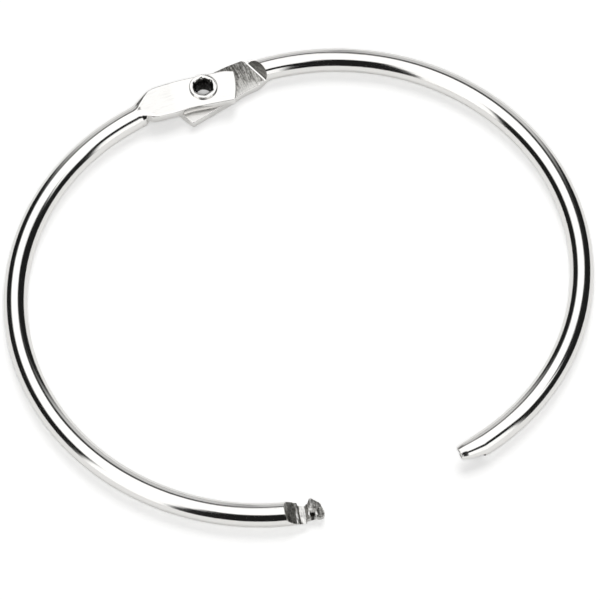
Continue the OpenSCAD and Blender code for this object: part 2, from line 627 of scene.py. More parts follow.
@dataclass(frozen=True)
class NickelFinish:
    """Bright nickel plate over drawn, pressed and cut steel wire.

    An "over" field is the range of a noise or of the mesh's tone in which an effect
    rises. Speck, stroke, the dullings and flattened say how far their effects go. Tone
    below 0 mixes in a near black that is painted shade in pits, creases, the cut
    shoulder and the bore; tone above 0 brightens towards the plate.

    Attributes:
        line_cells: Cells per millimetre of the drawing lines, along and round the wire.
        stroke_cells: The same for the strokes across torn and milled metal.
        cloud_cells: Cells per metre of the plate's faint clouds.
        crumb_cells: Cells per metre of the torn metal's crumbs.
        tone_share: How much the mesh's tone lightens or darkens torn metal.
        burnish: How much glossier bright torn metal is than the rest of it.
        line_height: Depth of the drawing lines, in millimetres.
        torn_height: Depth of the torn metal's relief, in millimetres.
    """

    bright: Colour = (0.92, 0.91, 0.89, 1.0)
    torn_light: Colour = (0.74, 0.73, 0.70, 1.0)
    torn_dark: Colour = (0.13, 0.125, 0.115, 1.0)
    # painted shade: the near black that stands for shade in pits, creases and the bore
    pit_shade: Colour = (0.02, 0.018, 0.015, 1.0)
    line_cells: tuple[float, float, float] = (0.045, 3.2, 3.2)
    stroke_cells: tuple[float, float, float] = (3.4, 0.5, 1.2)
    cloud_cells: float = 420.0
    crumb_cells: float = 2600.0
    speck_over: Span = (0.43, 0.6)
    speck: float = 0.4
    stroke_over: Span = (0.45, 0.58)
    stroke: float = 0.65
    tone_share: float = 0.45
    pit_shade_over: Span = (-0.2, -1.0)
    bright_over: Span = (0.3, 1.0)
    gloss: float = 0.075
    line_over: Span = (0.35, 0.7)
    line_dulling: float = 0.06
    cloud_over: Span = (0.45, 0.75)
    cloud_dulling: float = 0.04
    torn_gloss: float = 0.42
    burnish: float = 0.12
    line_strength: float = 0.35
    line_height: float = 0.016
    torn_strength: float = 0.7
    torn_height: float = 0.04
    flatten_over: Span = (0.2, 0.9)
    flattened: float = 0.08
    noise_roughness: float = 0.65

    def noise(
        self, bench: NodeBench, place: object, cells: float, detail: float
    ) -> bpy.types.NodeSocket:
        """Add a noise texture.

        Args:
            bench: Node bench of the material.
            place: Socket with the places at which the noise is read.
            cells: Cells in one unit of length.
            detail: How many finer layers there are.

        Returns:
            Socket with the noise's value.
        """
        inputs = {
            "Vector": place,
            "Scale": cells,
            "Detail": detail,
            "Roughness": self.noise_roughness,
        }
        return bench.add("TexNoise", inputs).outputs["Fac"]

    def streaks(
        self, bench: NodeBench, cells: tuple[float, float, float], detail: float
    ) -> bpy.types.NodeSocket:
        """Add a noise that is stretched in the wire's own coordinates.

        Args:
            bench: Node bench of the material.
            cells: Cells per millimetre along the wire, outwards and up.
            detail: How many finer layers there are.

        Returns:
            Socket with the noise's value.
        """
        drawn = bench.attribute(Surface.DRAWN).outputs["Vector"]
        place = bench.add("Mapping", {"Vector": drawn, "Scale": cells}).outputs[0]
        return self.noise(bench, place, cells=1.0, detail=detail)

    def build(self, name: str) -> bpy.types.Material:
        """Make the material.

        Args:
            name: Name of the material.

        Returns:
            A metal whose gloss and colour follow the mesh's worked places.
        """
        material = bpy.data.materials.new(name)
        material.use_nodes = True
        bench = NodeBench(material.node_tree)
        torn, milled, tone = (
            bench.attribute(surface).outputs["Fac"]
            for surface in (Surface.TORN, Surface.MILLED, Surface.TONE)
        )
        place = bench.add("TexCoord").outputs["Object"]
        lines = self.streaks(bench, self.line_cells, detail=4.0)
        strokes = self.streaks(bench, self.stroke_cells, detail=5.0)
        cloud = self.noise(bench, place, self.cloud_cells, detail=5.0)
        crumb = self.noise(bench, place, self.crumb_cells, detail=6.0)

        worked = bench.math("MAXIMUM", torn, milled)
        speck = bench.span(crumb, self.speck_over, (0.0, self.speck))
        stroke = bench.span(strokes, self.stroke_over, (0.0, self.stroke))
        broken = bench.math("ADD", speck, stroke)
        broken = bench.math("ADD", broken, bench.math("MULTIPLY", tone, self.tone_share))
        grey = bench.mix(bench.span(broken, (0.0, 1.0)), self.torn_dark, self.torn_light)
        # Tone below 0 mixes in the painted shade; tone above 0 brightens towards the plate, which
        # on the milled faces is painted light.
        grey = bench.mix(bench.span(tone, self.pit_shade_over), grey, self.pit_shade)
        grey = bench.mix(bench.span(tone, self.bright_over), grey, self.bright)
        colour = bench.mix(worked, self.bright, grey)

        dulled = bench.span(lines, self.line_over, (0.0, self.line_dulling))
        clouded = bench.span(cloud, self.cloud_over, (0.0, self.cloud_dulling))
        plain = bench.math("ADD", bench.math("ADD", dulled, self.gloss), clouded)
        torn_range = (self.torn_gloss, self.torn_gloss - self.burnish)
        gloss = bench.mix_number(worked, plain, bench.span(tone, self.bright_over, torn_range))

        draw_lines = {
            "Height": lines,
            "Strength": self.line_strength,
            "Distance": self.line_height * MM,
        }
        relief = bench.math("MULTIPLY", bench.math("ADD", crumb, strokes), worked)
        flat = bench.span(tone, self.flatten_over, (1.0, self.flattened))
        tearing = {
            "Height": bench.math("MULTIPLY", relief, flat),
            "Strength": self.torn_strength,
            "Distance": self.torn_height * MM,
            "Normal": bench.add("Bump", draw_lines).outputs[0],
        }
        metal = {
            "Base Color": colour,
            "Metallic": 1.0,
            "Roughness": gloss,
            "Normal": bench.add("Bump", tearing).outputs[0],
        }
        shader = bench.add("BsdfPrincipled", metal)
        bench.add("OutputMaterial", {"Surface": shader.outputs[0]})
        return material


# ---------------------------------------------------------------- half rings


@dataclass(frozen=True)
class BladeShape:
    """Flat hinge blade pressed from the upper half of the wire.

    Lengths along the blade are counted from the hinge, towards the wire.

    Attributes:
        gap: Room between the two blades.
        reach: How far the blade goes past the hinge.
        out: Place of its outer edge at the hinge.
        inwards: Place of its inner edge at the hinge, before any extra width.
        root: Where the blade starts to turn into round wire.
        wire_root: Where the wire is round again.
        level: Where the blade starts to thicken towards the wire.
        shoulder: Where the wire's lower half is cut off.
        tab: Length of the wide inner corner, and how much it tapers.
        neck: Distances from the root, and how far the inner edge bulges there.
        corner: Width of the clipped outer corner.
        skew: How much shorter the end is at its inner corner.
        edge_lift: Angle round the section, in degrees, taken up by the blade's sides.
    """

    gap: float = 0.06
    thickness: float = 1.5
    reach: float = 5.7
    out: float = 2.355
    inwards: float = 3.54
    extra: float = 0.0
    root: float = 8.3
    wire_root: float = 12.3
    level: float = 5.2
    shoulder: float = 9.6
    shoulder_slope: float = 22.0
    shoulder_skew: float = 24.0
    edge_radius: float = 0.18
    curve_start: float = 2.0
    outer_bend: float = 0.6
    longest_bend: float = 1.4
    tab: Span = (2.7, 0.15)
    neck: Profile = ((2.4, 0.25), (0.0, 0.4))
    inner_ease: float = 0.5
    end_bow: float = 0.25
    corner: float = 0.55
    clip: float = 2.0
    skew: float = 1.05
    inner_corner_radius: float = 0.35
    edge_lift: float = 7.5

    @property
    def low(self) -> float:
        """Height of the blade's lower face."""
        return self.gap / 2

    @property
    def inner(self) -> float:
        """Place of the blade's inner edge at the hinge."""
        return -self.inwards - self.extra

    def outer_edge(self, away: Array) -> Array:
        """Outer edge of the blade by distance from the hinge towards the wire."""
        bend = (away - self.curve_start) / (self.root - self.curve_start)
        return self.out - self.outer_bend * np.clip(bend, 0, self.longest_bend) ** 2

    def inner_edge(self, away: Array) -> Array:
        """Find the inner edge of the blade.

        Args:
            away: Distance from the hinge towards the wire.

        Returns:
            Place of the edge.
        """
        length, taper = self.tab
        tab = ((-self.reach, self.inner), (length, self.inner + taper))
        neck = tuple((self.root - back, -self.inwards - bulge) for back, bulge in self.neck)
        return eased_profile(away, tab + neck, self.inner_ease)

    def end_edge(self, across: Array) -> Array:
        """Find the blade's bowed, skewed end.

        Args:
            across: Place across the blade.

        Returns:
            How far the end reaches past the hinge there.
        """
        clip_at = self.out - self.corner
        t = (across - self.inner) / (clip_at - self.inner)
        short = self.reach - self.skew
        main = short + (self.reach - short) * t + self.end_bow * 4 * t * (1 - t)
        clipped = self.reach - self.clip * (across - clip_at) / self.corner
        end = np.minimum(main, np.where(across > clip_at, clipped, main))
        return end - edge_drop(across - self.inner, self.inner_corner_radius)

    def points(self, away: Array, theta: Array, full: Array) -> Array:
        """Points of the blade's skin.

        Args:
            away: Distance from the hinge towards the wire, below 0 past the hinge.
            theta: Angle round the section, from the outer side over the top.
            full: Fullness of the section, below 1 in the rings that close the end.

        Returns:
            Points in the half ring's own frame.
        """
        outer, inner = self.outer_edge(away), self.inner_edge(away)
        middle, half = (outer + inner) / 2, (outer - inner) / 2
        y = middle + half * np.cos(theta) * full
        beyond = ramp(-away, self.curve_start, self.reach)
        end, straight = self.end_edge(y), away > -self.curve_start
        stretched = self.curve_start + (end - self.curve_start) * beyond
        x = np.where(straight, -away, stretched)
        to_side = half * (1 - np.abs(np.cos(theta)))
        to_end = np.where(straight, self.reach, end - x)
        drop = edge_drop(np.minimum(to_side, to_end), self.edge_radius)
        steep = np.clip(np.sin(theta) / math.sin(math.radians(self.edge_lift)), -1, 1)
        half_t = self.thickness / 2
        reach_z = np.minimum(half_t - drop, half_t - self.edge_radius * (np.abs(steep) < 1))
        z = self.low + half_t + steep * reach_z * full
        return np.column_stack([x, y, z])


@dataclass(frozen=True)
class Pressing:
    """How the round section of the wire is pressed into the blade's.

    Angles are in degrees above or below the wire's middle, the same on both sides of it.

    Attributes:
        side: Angle below which the points of the blade's upper skin go down its side.
        corner: Depth of the point that becomes the blade's lower corner.
        ledge: Depth of the point where the blade's lower face meets the wire's side.
        skin: Depth on the round wire from which the points below the ledge are spread.
        squaring: How near the section comes to a rectangle, from 0 to 1.
        squaring_power: How fast it does so as the wire is pressed.
        square_over: Shares of the pressing over which the round top gives way to this.
        flat_over: Shares of the pressing over which this gives way to the blade's skin.
        ledge_run: Length over which the ledge starts, at the round end of the root.
        under_run: How far before the shoulder the blade's own lower face starts.
        far_off: Distance that stands for the wire beyond the blade.
    """

    side: float = 6.0
    corner: float = 9.0
    ledge: float = 18.0
    skin: float = 1.0
    squaring: float = 0.94
    squaring_power: float = 1.5
    square_over: Span = (0.0, 0.3)
    flat_over: Span = (0.8, 1.0)
    ledge_run: float = 0.5
    under_run: float = 0.7
    far_off: float = 99.0


@dataclass(frozen=True)
class HingeWork:
    """What the points of the wire are worked by at the hinge, one value or row a point.

    Attributes:
        along: Length along the wire from the hinge.
        theta: Angle round the section.
        full: Fullness of the section.
        away: Distance straight across from the hinge.
        lift: Angle above the wire's middle, in degrees.
        side: 1 on the wire's outer side and -1 on its inner side.
        top: Height of the blade's upper face.
        flat: Place on the blade's own skin.
        pressed: How far the wire is pressed, from 0 where it is round to 1.
        ledge_on: How far the ledge has started, from 0 to 1.
    """

    along: Array
    theta: Array
    full: Array
    away: Array
    lift: Array
    side: Array
    top: Array
    flat: Array
    pressed: Array
    ledge_on: Array


@dataclass(frozen=True)
class MilledFaceShading:
    """Painted light and shade on the blade's milled lower face: darker where it lies under
    the other blade, brighter towards its open inner edge and its end.

    Attributes:
        base: Tone of the middle of the face.
        edge_gain: How much brighter it gets across the face.
        edge_over: Where that happens, by distance past the inner edge, so below 0.
        end_gain: How much brighter it gets towards the end.
        end_over: Where that happens, by distance past the hinge.
        root_edge: Place of the face's inner edge at the root.
    """

    base: float = -0.4
    edge_gain: float = 1.3
    edge_over: Span = (-4.6, -0.1)
    end_gain: float = 0.9
    end_over: Span = (-1.5, 2.0)
    root_edge: float = -3.0

    def tone(self, blade: BladeShape, away: Array, outwards: Array) -> Array:
        """Tone of each face, with its painted light and shade.

        Args:
            blade: Shape of the blade.
            away: Distance of each face from the hinge towards the wire.
            outwards: Its offset outwards.

        Returns:
            One tone a face.
        """
        length, taper = blade.tab
        inner = np.interp(away, [length, blade.root], [blade.inner + taper, self.root_edge])
        across = self.edge_gain * ramp(inner - outwards, *self.edge_over) + self.base
        return across + self.end_gain * ramp(-away, *self.end_over)


@dataclass
class RingPiece:
    """A visible piece of the ring, the CAD node it stands for and the body it rides on."""

    name: str
    stands_for: str
    body: str
    slot: Slot
    finish: NickelFinish

    def hand_over(self, piece: bpy.types.Object) -> bpy.types.Object:
        """Tie the finished piece to its CAD node and its body.

        Args:
            piece: The finished piece.

        Returns:
            The same piece.
        """
        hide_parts(self.stands_for)
        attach(piece, self.body)
        log.info("%s: %d faces on %s", self.name, len(piece.data.polygons), self.body)
        return piece


@dataclass
class HalfRing(RingPiece):
    """Half ring with a pressed hinge blade. Its free end is worked by its subclass.

    Attributes:
        edge_angle: Angle in degrees above which an edge stays crisp.
        burr_step: Length over which the shoulder's burr stands up.
        lift_off: Room between the shoulder's cutter and the blade's lower face.
        cut_back: How far the shoulder's cutter reaches towards the hinge.
        cut_beyond: How far from the wire's middle a cutter reaches up, down or sideways.
    """

    path: RingPath
    wire_radius: float
    hole_radius: float
    blade: BladeShape = BladeShape()
    pressing: Pressing = Pressing()
    milled_face_shading: MilledFaceShading = MilledFaceShading()
    free_end: float = 0.0
    work_length: float = 0.0
    edge_angle: float = 34.0
    burr_width: float = 0.34
    burr_height: float = 0.02
    burr_step: float = 0.03
    lift_off: float = 0.01
    cut_back: float = 2.6
    cut_beyond: Span = (3.0, 4.0)
    nick_depth: float = 0.55
    nick_at: float = 10.8
    nick_back: float = 2.0

    @property
    def shoulder_at(self) -> float:
        """Length along the wire where the cut shoulder meets the blade's lower face."""
        return self.path.radius * math.asin(self.blade.shoulder / self.path.radius)

    def stretches(self) -> tuple[Stretch, ...]:
        """Lay out the stations up to the free end.

        Returns:
            Where each stretch ends and the spacing of its stations.
        """
        return (
            Stretch(-self.blade.reach + 0.5, 0.05),
            Stretch(self.blade.root - 0.2, 0.3),
            Stretch(self.blade.wire_root + 0.9, 0.07),
            Stretch(self.free_end - 9.0, 0.5),
        )

    @property
    def work_start(self) -> float:
        """Length along the wire where the free end's work starts."""
        return self.free_end - self.work_length

    def section(self, place: float, rays: Array) -> tuple[Array, Array]:
        """Find the free end's outline at one station. A subclass replaces this."""
        raise NotImplementedError

    def work_free_end(self, along: Array, theta: Array, full: Array, points: Array) -> Array:
        """Work the free end of the wire, station by station.

        Args:
            along: Length along the wire.
            theta: Angle round the section.
            full: Fullness of the section.
            points: Points worked so far.

        Returns:
            The worked points.
        """
        end = np.flatnonzero(along > self.work_start)
        station = np.round(along[end], 3)
        points = points.copy()
        for place in np.unique(station):
            rows = end[station == place]
            outline, core = self.section(place, theta[rows])
            outline = lerp(core, outline, full[rows][:, None])
            length = np.full(len(rows), min(place, self.free_end))
            points[rows] = self.path.place(length, outline[:, 0], outline[:, 1])
        return points

    def wear_free_end(self, along: Array, outwards: Array, up: Array, wear: Wear) -> None:
        """Mark the worked faces of the free end. A subclass replaces this."""
        raise NotImplementedError

    def to_frame(self, points: Array) -> Array:
        """Turn points of the half ring's own frame into the CAD frame."""
        return points

    def blank(self, material: bpy.types.Material) -> bpy.types.Mesh:
        """Draw the round wire that the half ring is made from."""
        blank = DrawnBlank(self.path, self.wire_radius, -self.blade.reach, self.stretches())
        return blank.sweep(self.name, material)

    @property
    def foot_angle(self) -> float:
        """Angle above the wire's middle at which it is as high as the blade's lower face."""
        return math.asin(self.blade.low / self.wire_radius)

    def hinge_work(self, along: Array, theta: Array, full: Array) -> HingeWork:
        """Find how far each point of the wire is pressed.

        Args:
            along: Length along the wire from the hinge.
            theta: Angle round the section.
            full: Fullness of the section.

        Returns:
            What is needed to work each point.
        """
        blade, press = self.blade, self.pressing
        away = np.where(along < self.path.radius, self.path.away_at(along), press.far_off)
        rise = ramp(away, blade.level, blade.wire_root)
        top = lerp(blade.low + blade.thickness, self.wire_radius, rise)
        flat = blade.points(away, theta, full)
        flat[:, 2] = blade.low + (flat[:, 2] - blade.low) * (top - blade.low) / blade.thickness
        pressed = 1 - ramp(away, blade.root, blade.wire_root)
        return HingeWork(
            along=along,
            theta=theta,
            full=full,
            away=away,
            lift=np.degrees(np.arcsin(np.clip(np.sin(theta), -1, 1))),
            side=np.where(np.cos(theta) >= 0, 1.0, -1.0),
            top=top,
            flat=flat,
            pressed=(pressed + smooth(pressed)) / 2,
            ledge_on=smooth(ramp(blade.wire_root - away, 0.0, press.ledge_run)),
        )

    def round_skin(self, work: HingeWork, angle: Array) -> Array:
        """Points of the round wire at an angle above its middle."""
        r = self.wire_radius
        return self.path.place(work.along, work.side * r * np.cos(angle), r * np.sin(angle))

    def upper_skin(self, work: HingeWork) -> Array:
        """Press the blade's upper face and sides, which turn into the wire's top.

        Args:
            work: What each point is worked by.

        Returns:
            Points of the upper skin.
        """
        blade, press, lift = self.blade, self.pressing, work.lift
        share = np.radians(lift + press.corner) / math.radians(90 + press.corner)
        high_angle = self.foot_angle + (QUARTER - self.foot_angle) * share
        round_top = self.round_skin(work, lerp(np.radians(lift), high_angle, work.ledge_on))
        upper = lerp(round_top, work.flat, work.pressed)
        power = 2 / (1 - press.squaring * work.pressed) ** press.squaring_power
        fall = np.cos(np.radians(np.maximum(lift, press.side))) ** power
        top = work.top * (1 - fall) ** (1 / power)
        squared = lerp(blade.low, top, ramp(lift, -press.corner, press.side))
        to_square = smooth(ramp(work.pressed, *press.square_over))
        to_flat = smooth(ramp(work.pressed, *press.flat_over))
        upper[:, 2] = lerp(lerp(round_top[:, 2], squared, to_square), work.flat[:, 2], to_flat)
        return upper

    def lower_skin(self, work: HingeWork, round_wire: Array) -> Array:
        """Press the blade's lower face and its ledge, which end in the wire's lower half.

        Args:
            work: What each point is worked by.
            round_wire: Points of the round wire.

        Returns:
            Points of the lower skin.
        """
        blade, press, lift = self.blade, self.pressing, work.lift
        spread = -90 + (lift + 90) * (90 - press.skin) / (90 - press.ledge)
        low_angle = lerp(lift, spread, work.ledge_on)
        wire_low = self.round_skin(work, np.radians(np.minimum(low_angle, 0)))
        foot = self.round_skin(work, np.full_like(work.along, self.foot_angle))
        down = math.radians(press.corner)
        corner_theta = np.where(work.side > 0, -down, math.pi + down)
        corner = lerp(foot, blade.points(work.away, corner_theta, work.full), work.pressed)
        corner[:, 2] = blade.low
        ledge = lerp(corner, foot, ramp(-lift, press.corner, press.ledge))
        ledge = lerp(round_wire, ledge, work.ledge_on)
        lower = np.where((lift > -press.ledge)[:, None], ledge, wire_low)
        under = ramp(-work.away, -blade.shoulder + press.under_run, -blade.root)
        return lerp(lower, work.flat, under)

    def press_hinge(self, along: Array, theta: Array, full: Array, round_wire: Array) -> Array:
        """Press the blade from the upper half of the wire.

        Args:
            along: Length along the wire from the hinge.
            theta: Angle round the section.
            full: Fullness of the section.
            round_wire: Points of the round wire.

        Returns:
            The worked points.
        """
        work = self.hinge_work(along, theta, full)
        is_upper = (work.lift >= -self.pressing.corner)[:, None]
        points = np.where(is_upper, self.upper_skin(work), self.lower_skin(work, round_wire))
        return np.where((work.away < self.blade.wire_root)[:, None], points, round_wire)

    def cutter(self, name: str, at: float, corners: Sequence[tuple]) -> bpy.types.Mesh:
        """Make a block that cuts the wire.

        Args:
            name: Name of the block.
            at: Length along the wire from which it is measured.
            corners: Length along the wire, offset outwards and height of each corner of
                one side of the block, then of the other.

        Returns:
            The block, straight, in the frame of the CAD model.
        """
        angle = at / self.path.radius
        origin = self.path.place(np.array([at]), np.zeros(1), np.zeros(1))[0]
        tangent = np.array([-math.cos(angle), -math.sin(angle), 0.0])
        outward = np.array([-math.sin(angle), math.cos(angle), 0.0])
        points = [origin + tangent * s + outward * y + np.array([0, 0, z]) for s, y, z in corners]
        return prism(name, self.to_frame(np.array(points)))

    def nick_cutter(self) -> bpy.types.Mesh:
        """Make the wedge that marks the inner side of the blade's root.

        Returns:
            Mesh of the wedge.
        """
        tip, back = -self.wire_radius + self.nick_depth, -self.wire_radius - self.nick_back
        outline = [(0.0, tip), (-tip + back, back), (tip - back, back)]
        high = self.cut_beyond[0]
        corners = [(s, y, z) for z in (-high, high) for s, y in outline]
        return self.cutter("nick_cutter", self.nick_at, corners)

    def shoulder_cutter(self) -> bpy.types.Mesh:
        """Make the block that cuts the wire's lower half away beside the other blade.

        Returns:
            Mesh of the block, with the step that leaves a bright burr at the shoulder.
        """
        slope = math.tan(math.radians(self.blade.shoulder_slope))
        skew = math.tan(math.radians(self.blade.shoulder_skew))
        start, top = self.shoulder_at, self.blade.low - self.lift_off
        (high, wide), burr = self.cut_beyond, top - self.burr_height
        outline = [
            (start - self.cut_back, top),
            (start - self.burr_width, top),
            (start - self.burr_width + self.burr_step, burr),
            (start - burr * slope, burr),
            (start + high * slope, -high),
            (start - self.cut_back, -high),
        ]
        corners = [(s - start - y * skew, y, z) for y in (-wide, wide) for s, z in outline]
        return self.cutter("shoulder_cutter", start, corners)

    def wear_hinge(self, along: Array, outwards: Array, up: Array, normal: Array) -> Wear:
        """Mark the milled underside of the blade and the rough shoulder, which is painted black as
        shade under the blade.

        Args:
            along: Length along the wire of each face.
            outwards: Offset outwards of each face.
            up: Height of each face.
            normal: Normal of each face, in the half ring's own frame.

        Returns:
            Finish values with the hinge end filled in.
        """
        wear, blade = Wear.plain(len(along)), self.blade
        slope, skew = math.radians(blade.shoulder_slope), math.radians(blade.shoulder_skew)
        start = self.shoulder_at - outwards * math.tan(skew)
        facing_down, face_slack = -0.9, 0.03
        cut_slack, skin_slack, cut_below = 0.04, 0.002, -0.07
        on_face = (normal[:, 2] < facing_down) & (np.abs(up - blade.low) < face_slack)
        under = on_face & (along < start - self.burr_width)
        wear.milled[under] = 1.0
        # The milled face's tone is painted light and shade.
        tone = self.milled_face_shading.tone(blade, self.path.away_at(along), outwards)
        wear.tone[under] = tone[under]
        off_plane = (along - start) * math.cos(skew) * math.cos(slope) + up * math.sin(slope)
        in_wire = np.hypot(outwards, up) < self.wire_radius - skin_slack
        cut = (np.abs(off_plane) < cut_slack) & in_wire & (up < cut_below)
        # painted shade: the shoulder's cut face, under the blade, is made near black
        wear.torn[cut] = 1.0
        wear.tone[cut] = -1.0
        return wear

    def build(self) -> bpy.types.Object:
        """Make the piece, dress it and tie it to its body.

        Returns:
            The finished piece.
        """
        material = self.finish.build(self.slot.value)
        mesh = self.blank(material)
        blank = coordinates(mesh)
        full = np.empty(len(blank))
        mesh.attributes["full"].data.foreach_get("value", full)
        mesh.attributes.remove(mesh.attributes["full"])
        along, outwards, up = self.path.unroll(blank)
        theta = np.arctan2(up, outwards)
        points = self.press_hinge(along, theta, full, blank)
        points = self.work_free_end(along, theta, full, points)
        mesh.vertices.foreach_set("co", (self.to_frame(points) * MM).ravel())
        close_skin(mesh)
        piece = set_out(self.name, mesh)
        carve(piece, drill(self.hole_radius))
        carve(piece, self.shoulder_cutter())
        if self.nick_depth > 0:
            carve(piece, self.nick_cutter())
        self.dress(piece.data)
        return self.hand_over(piece)

    def dress(self, mesh: bpy.types.Mesh) -> None:
        """Mark the finish of every face and keep the edges crisp.

        Args:
            mesh: Mesh of the finished shape, in the frame of the CAD model.
        """
        middle, normal = faces_of(mesh)
        along, outwards, up = self.path.unroll(self.to_frame_back(middle))
        wear = self.wear_hinge(along, outwards, up, self.to_frame_back(normal))
        self.wear_free_end(along, outwards, up, wear)
        drawn = np.column_stack(self.path.unroll(self.to_frame_back(coordinates(mesh))))
        wear.keep_on(mesh, drawn)
        mesh.set_sharp_from_angle(angle=math.radians(self.edge_angle))

    def to_frame_back(self, points: Array) -> Array:
        """Turn points of the CAD frame into the half ring's own frame."""
        axes = self.to_frame(np.eye(3))
        return points @ np.linalg.inv(axes)


@dataclass(frozen=True)
class Mark:
    """Patch of the hook's torn skin, in millimetres from the scoop's start.

    Its tone runs from -1, painted black shade in the hook's pits and creases, to 1 for
    bright metal, and its depth presses the skin down. Overlap, stray and soft say how
    far its edge reaches, how much the edge wanders and how gently it ends, as shares
    of the patch's size.
    """

    at: float
    out: float
    length: float
    width: float
    tone: float
    depth: float = 0.0
    overlap: float = 1.25
    stray: float = 0.3
    soft: float = 0.45

    def weight(self, t: Array, y: Array, wander: Array) -> Array:
        """How far each point belongs to the patch, from 0 to 1."""
        distance = np.hypot((t - self.at) / self.length, (y - self.out) / self.width)
        return smooth(ramp(self.overlap - distance + self.stray * wander, 0.0, self.soft))


@dataclass
class HookHalf(HalfRing):
    """Half ring whose free end is cut into a barbed hook.

    Profiles give a place or height in millimetres by the length from the scoop's start,
    and crest_across gives a share of the crest's height by the offset across the wire.

    Attributes:
        crest_span: Lengths between which the barb's crest stands.
        crest_floor: Height that the crest keeps beside its ridge, as a share.
        core: Height of the point inside the hook from which its outline is seen.
        core_fall: Length past which the core falls, and how steeply.
        core_over: Lengths over which the core leaves the wire's middle.
        rough_over: Lengths over which the skin gets rough.
        belly: Height below which the hook's skin is bright, and its tone there.
    """

    scoop_at: float = 171.8
    work_length: float = 6.5
    profile: Profile = (
        (-0.2, 3.5), (0.0, 1.96), (0.5, 0.8), (1.2, 0.3), (1.8, -0.14), (2.3, -0.24),
        (2.4, -0.5), (3.5, -0.5), (3.8, 0.15), (5.5, 0.15), (6.2, -0.35), (6.5, -0.9),
    )
    inner_plan: Profile = (
        (2.25, -1.95), (2.42, -1.5), (3.5, -1.2), (4.0, -1.25), (4.44, -1.8),
        (4.66, -1.8), (5.21, -1.5), (5.96, -1.05), (6.35, -0.45), (6.5, 0.0),
    )
    outer_plan: Profile = (
        (3.4, 1.95), (3.5, 1.05), (4.4, 0.9), (5.1, 0.85),
        (5.6, 1.2), (6.1, 1.1), (6.35, 0.8), (6.5, 0.5),
    )
    crest_lengthways: Profile = (
        (3.85, 0.0), (4.4, 1.0), (4.62, 1.0),
        (5.0, 0.68), (5.6, 0.42), (6.2, 0.0),
    )
    crest_across: Profile = (
        (-1.8, 0.85), (-1.68, 1.0), (-1.5, 1.0), (-1.0, 0.4), (-0.35, 0.0),
    )
    crest_height: float = 0.95
    crest_span: Span = (3.7, 6.15)
    crest_floor: float = 0.35
    head_height: float = 0.05
    core: float = -1.12
    core_fall: Span = (5.5, 0.2)
    core_over: Span = (0.0, 1.2)
    rough_over: Span = (0.1, 0.6)
    ease: float = 0.05
    top_points: int = 131
    crest_ease: Span = (0.04, 0.03)
    crest_edge: float = 0.02
    press_stray: float = 0.3
    skin_slack: float = 0.02
    belly: Span = (-0.75, 0.6)
    coarse: Grain = Grain((1.6, 1.1, 1.1), 3.7, 0.05)
    fine: Grain = Grain((6.0, 2.2, 2.2), 11.2, 0.03)
    stain: Grain = Grain((2.4, 1.4, 1.4), 5.3)
    # Marks below 0 are painted shade in pits and creases; marks above 0 are bright metal.
    marks: tuple[Mark, ...] = (
        Mark(1.1, 1.3, 0.55, 0.6, -0.3),
        Mark(2.02, 0.75, 0.22, 1.2, 1.0),
        Mark(3.0, 0.1, 0.45, 1.9, 1.0),
        Mark(2.44, 0.85, 0.05, 1.1, -0.9),
        Mark(4.68, -1.15, 0.2, 0.6, 1.0),
        Mark(4.36, -0.2, 0.26, 0.28, 0.8),
        Mark(3.92, 0.5, 0.15, 0.36, 1.0),
        Mark(4.45, 0.68, 0.34, 0.3, -1.0, 0.5),
        Mark(5.06, 0.6, 0.15, 0.3, 0.9),
        Mark(5.38, 0.5, 0.07, 0.5, -0.9, 0.12),
    )

    def __post_init__(self) -> None:
        """Work out where the wire ends."""
        self.free_end = self.path.length_at(self.scoop_at) + self.work_length

    def stretches(self) -> tuple[Stretch, ...]:
        """Add the hook's stations, a few hundredths apart.

        Returns:
            Where each stretch ends and the spacing of its stations.
        """
        return super().stretches() + (
            Stretch(self.work_start - 0.3, 0.3),
            Stretch(self.free_end, 0.036),
        )

    def crest(self, t: Array, y: Array) -> Array:
        """Find the height of the barb's crest.

        Args:
            t: Length from the scoop's start.
            y: Offset across the wire.

        Returns:
            Height at each place.
        """
        lengthways = eased_profile(t, self.crest_lengthways, self.crest_ease[0])
        across = eased_profile(y, self.crest_across, self.crest_ease[1])
        share = self.crest_floor + (1 - self.crest_floor) * across
        height = lengthways * share * (across > self.crest_edge)
        return self.head_height + (self.crest_height - self.head_height) * height

    def top_line(self, t: float, y: Array) -> Array:
        """Height that the hook is cut down to across the wire.

        Args:
            t: Length from the scoop's start.
            y: Offsets across the wire.

        Returns:
            Height at each offset.
        """
        length = np.full(len(y), t)
        top = eased_profile(length, self.profile, self.ease)
        if self.crest_span[0] < t < self.crest_span[1]:
            top = np.maximum(top, self.crest(length, y))
        spots = np.column_stack([length, y, np.zeros(len(y))])
        fine = self.fine.at(spots)
        for mark in self.marks:
            if mark.depth:
                top = top - mark.depth * mark.weight(length, y, self.press_stray * fine)
        rough = self.coarse.height * self.coarse.at(spots) + self.fine.height * fine
        return top + smooth(ramp(length, *self.rough_over)) * rough

    def section(self, place: float, rays: Array) -> tuple[Array, Array]:
        """Find the hook's outline at one station.

        Args:
            place: Length along the wire from the hinge.
            rays: Angles of the rays from the section's core.

        Returns:
            Offset outwards and height of each point, and of the core.
        """
        t = np.array([min(place, self.free_end) - self.work_start])
        inner = eased_profile(t, self.inner_plan, self.ease)
        outer = eased_profile(t, self.outer_plan, self.ease)
        fall_at, fall = self.core_fall
        core_height = self.core - fall * np.maximum(0.0, t - fall_at)
        worked = smooth(ramp(t, *self.core_over))
        core = np.concatenate([(inner + outer) / 2, core_height]) * worked
        across = np.linspace(-self.wire_radius, self.wire_radius, self.top_points)
        top = self.top_line(t[0], across)

        def inside(y: Array, z: Array) -> Array:
            """Tell whether places are in the hook."""
            in_wire = y * y + z * z < self.wire_radius**2
            return in_wire & (y > inner) & (y < outer) & (z < np.interp(y, across, top))

        return outline_from(core, rays, inside), core

